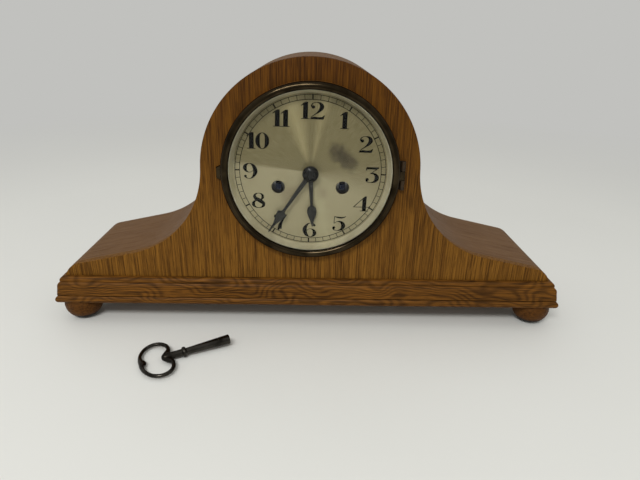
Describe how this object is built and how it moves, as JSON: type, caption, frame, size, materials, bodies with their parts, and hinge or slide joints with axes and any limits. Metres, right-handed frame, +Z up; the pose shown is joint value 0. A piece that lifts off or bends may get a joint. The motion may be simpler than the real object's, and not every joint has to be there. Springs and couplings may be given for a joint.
{
  "type": "striking table clock",
  "caption": "Hat-shaped oak table clock with a hinged bezel, round silvered dial, spring-driven striking movement, pendulum, rod gong and winding key.",
  "frame": {"origin": "on the table, at the middle of the four feet", "axes": "+X to the clock's right as seen from the front, +Y into the clock, +Z up"},
  "size_m": [0.45, 0.1957, 0.2307],
  "materials": {
    "oak_front": "satin",
    "oak_top": "matt",
    "oak_plinth": "satin",
    "dark_feet": "satin",
    "back_wood": "matt",
    "bezel_metal": "dark bronzed",
    "dial_silver": "aged silvering",
    "glass": "clear",
    "hand_steel": "blued",
    "pan_brass": "plain",
    "movement_brass": "polished",
    "steel": "ground",
    "spring_steel": "blued",
    "gong_iron": "cast",
    "key_iron": "blackened"
  },
  "bodies": {
    "root": {"front_board": "oak_front", "top_shell": "oak_top", "plinth": "oak_plinth", "bun_feet": "dark_feet", "foot_screws": "steel", "dial_pan": "pan_brass", "pan_screws": "steel", "dial_plate": "dial_silver", "sight_ring": "dial_silver", "bezel_hinge_leaf": "bezel_metal", "bezel_hinge_pin": "bezel_metal", "front_plate": "movement_brass", "back_plate": "movement_brass", "plate_pillars": "steel", "pillar_nuts": "steel", "movement_straps": "steel", "strap_screws": "steel", "pendulum_cock": "movement_brass", "gong_block": "gong_iron", "gong_rods": "steel", "back_panel": "back_wood", "back_hinges_panel": "movement_brass"},
    "bezel": {"bezel_ring": "bezel_metal", "bezel_glass": "glass"},
    "minute": {"centre_wheel": "movement_brass", "cannon_pinion": "movement_brass", "minute_hand": "hand_steel", "hand_nut": "hand_steel"},
    "hour": {"hour_wheel": "movement_brass", "hour_hand": "hand_steel"},
    "minute_wheel": {"minute_wheel": "movement_brass"},
    "second_wheel": {"second_wheel": "movement_brass"},
    "going_barrel": {"going_barrel": "movement_brass", "going_mainspring": "spring_steel"},
    "third_wheel": {"third_wheel": "movement_brass"},
    "fourth_wheel": {"fourth_wheel": "movement_brass"},
    "escape_wheel": {"escape_wheel": "movement_brass"},
    "pin_wheel": {"pin_wheel": "movement_brass"},
    "strike_second_wheel": {"strike_second_wheel": "movement_brass"},
    "strike_barrel": {"strike_barrel": "movement_brass", "strike_mainspring": "spring_steel"},
    "locking_wheel": {"locking_wheel": "movement_brass"},
    "warning_wheel": {"warning_wheel": "movement_brass"},
    "fly": {"fly": "movement_brass"},
    "pendulum": {"suspension_spring": "spring_steel", "pendulum_rod": "steel", "pendulum_bob": "movement_brass", "rating_nut": "movement_brass"},
    "anchor": {"anchor": "steel"},
    "going_winding": {"going_winding_arbor": "steel", "going_ratchet": "steel"},
    "strike_winding": {"strike_winding_arbor": "steel", "strike_ratchet": "steel"},
    "going_click": {"going_click": "steel"},
    "strike_click": {"strike_click": "steel"},
    "hammer": {"hammer": "steel"},
    "back_door": {"back_door": "back_wood", "back_hinges_door": "movement_brass"},
    "door_catch": {"door_catch": "movement_brass"},
    "winding_key": {"winding_key": "key_iron"}
  },
  "joints": [
    {"name": "bezel_hinge", "type": "hinge", "parent": "root", "child": "bezel", "pos_m": [0.0757, -0.05055, 0.14], "axis": [0, 0, 1], "range_deg": [0, 110]},
    {"name": "minute_turn", "type": "hinge", "parent": "root", "child": "minute", "pos_m": [0, 0, 0.14], "axis": [0, 1, 0], "continuous": true},
    {"name": "hour_turn", "type": "hinge", "parent": "root", "child": "hour", "pos_m": [0, 0, 0.14], "axis": [0, 1, 0], "continuous": true},
    {"name": "minute_wheel_turn", "type": "hinge", "parent": "root", "child": "minute_wheel", "pos_m": [-0.00734, 0, 0.15049], "axis": [0, 1, 0], "continuous": true},
    {"name": "second_wheel_turn", "type": "hinge", "parent": "root", "child": "second_wheel", "pos_m": [0.00065, 0, 0.12101], "axis": [0, 1, 0], "continuous": true},
    {"name": "going_barrel_turn", "type": "hinge", "parent": "root", "child": "going_barrel", "pos_m": [0.027, 0, 0.1269], "axis": [0, 1, 0], "continuous": true},
    {"name": "third_wheel_turn", "type": "hinge", "parent": "root", "child": "third_wheel", "pos_m": [0.01379, 0, 0.15157], "axis": [0, 1, 0], "continuous": true},
    {"name": "fourth_wheel_turn", "type": "hinge", "parent": "root", "child": "fourth_wheel", "pos_m": [0.0119, 0, 0.16544], "axis": [0, 1, 0], "continuous": true},
    {"name": "escape_wheel_turn", "type": "hinge", "parent": "root", "child": "escape_wheel", "pos_m": [0, 0, 0.167], "axis": [0, 1, 0], "continuous": true},
    {"name": "pin_wheel_turn", "type": "hinge", "parent": "root", "child": "pin_wheel", "pos_m": [-0.03836, 0, 0.1579], "axis": [0, 1, 0], "continuous": true},
    {"name": "strike_second_turn", "type": "hinge", "parent": "root", "child": "strike_second_wheel", "pos_m": [-0.02001, 0, 0.15298], "axis": [0, 1, 0], "continuous": true},
    {"name": "strike_barrel_turn", "type": "hinge", "parent": "root", "child": "strike_barrel", "pos_m": [-0.027, 0, 0.1269], "axis": [0, 1, 0], "continuous": true},
    {"name": "locking_wheel_turn", "type": "hinge", "parent": "root", "child": "locking_wheel", "pos_m": [-0.03474, 0, 0.17142], "axis": [0, 1, 0], "continuous": true},
    {"name": "warning_wheel_turn", "type": "hinge", "parent": "root", "child": "warning_wheel", "pos_m": [-0.02122, 0, 0.17504], "axis": [0, 1, 0], "continuous": true},
    {"name": "fly_turn", "type": "hinge", "parent": "root", "child": "fly", "pos_m": [-0.02519, 0, 0.18594], "axis": [0, 1, 0], "continuous": true},
    {"name": "pendulum_swing", "type": "hinge", "parent": "root", "child": "pendulum", "pos_m": [0, 0, 0.1805], "axis": [0, 1, 0], "range_deg": [-5, 5]},
    {"name": "anchor_rock", "type": "hinge", "parent": "root", "child": "anchor", "pos_m": [0, 0, 0.1805], "axis": [0, 1, 0], "range_deg": [-5, 5]},
    {"name": "going_winding_turn", "type": "hinge", "parent": "root", "child": "going_winding", "pos_m": [0.027, 0, 0.1269], "axis": [0, 1, 0], "range_deg": [0, 2304]},
    {"name": "strike_winding_turn", "type": "hinge", "parent": "root", "child": "strike_winding", "pos_m": [-0.027, 0, 0.1269], "axis": [0, 1, 0], "range_deg": [-2304, 0]},
    {"name": "going_click_lift", "type": "hinge", "parent": "root", "child": "going_click", "pos_m": [0.0345, 0, 0.13989], "axis": [0, 1, 0], "range_deg": [0, 12], "stiffness_Nm_per_rad": 0.002, "springref_deg": -5.73},
    {"name": "strike_click_lift", "type": "hinge", "parent": "root", "child": "strike_click", "pos_m": [-0.0345, 0, 0.13989], "axis": [0, 1, 0], "range_deg": [-12, 0], "stiffness_Nm_per_rad": 0.002, "springref_deg": 5.73},
    {"name": "hammer_lift", "type": "hinge", "parent": "root", "child": "hammer", "pos_m": [-0.046, 0, 0.107], "axis": [0, 1, 0], "range_deg": [0, 14], "stiffness_Nm_per_rad": 0.01, "springref_deg": -11.46},
    {"name": "back_door_hinge", "type": "hinge", "parent": "root", "child": "back_door", "pos_m": [-0.05, 0.05645, 0.135], "axis": [0, 0, 1], "range_deg": [0, 110]},
    {"name": "door_catch_turn", "type": "hinge", "parent": "root", "child": "door_catch", "pos_m": [0.056, 0, 0.135], "axis": [0, 1, 0], "range_deg": [0, 90]},
    {"name": "winding_key_lift", "type": "slide", "parent": "root", "child": "winding_key", "axis": [0, 0, 1], "range_m": [0, 0.12]}
  ],
  "couplings": [
    {"joint": "hour_turn", "follows": "minute_turn", "ratio": 0.083333},
    {"joint": "minute_wheel_turn", "follows": "minute_turn", "ratio": -0.33333},
    {"joint": "second_wheel_turn", "follows": "minute_turn", "ratio": -0.26667},
    {"joint": "going_barrel_turn", "follows": "minute_turn", "ratio": 0.033333},
    {"joint": "third_wheel_turn", "follows": "minute_turn", "ratio": -8},
    {"joint": "fourth_wheel_turn", "follows": "minute_turn", "ratio": 48},
    {"joint": "escape_wheel_turn", "follows": "minute_turn", "ratio": -192},
    {"joint": "strike_second_turn", "follows": "pin_wheel_turn", "ratio": -0.26667},
    {"joint": "strike_barrel_turn", "follows": "pin_wheel_turn", "ratio": 0.033333},
    {"joint": "locking_wheel_turn", "follows": "pin_wheel_turn", "ratio": -6},
    {"joint": "warning_wheel_turn", "follows": "pin_wheel_turn", "ratio": 36},
    {"joint": "fly_turn", "follows": "pin_wheel_turn", "ratio": -172.8},
    {"joint": "anchor_rock", "follows": "pendulum_swing", "ratio": 1}
  ]
}
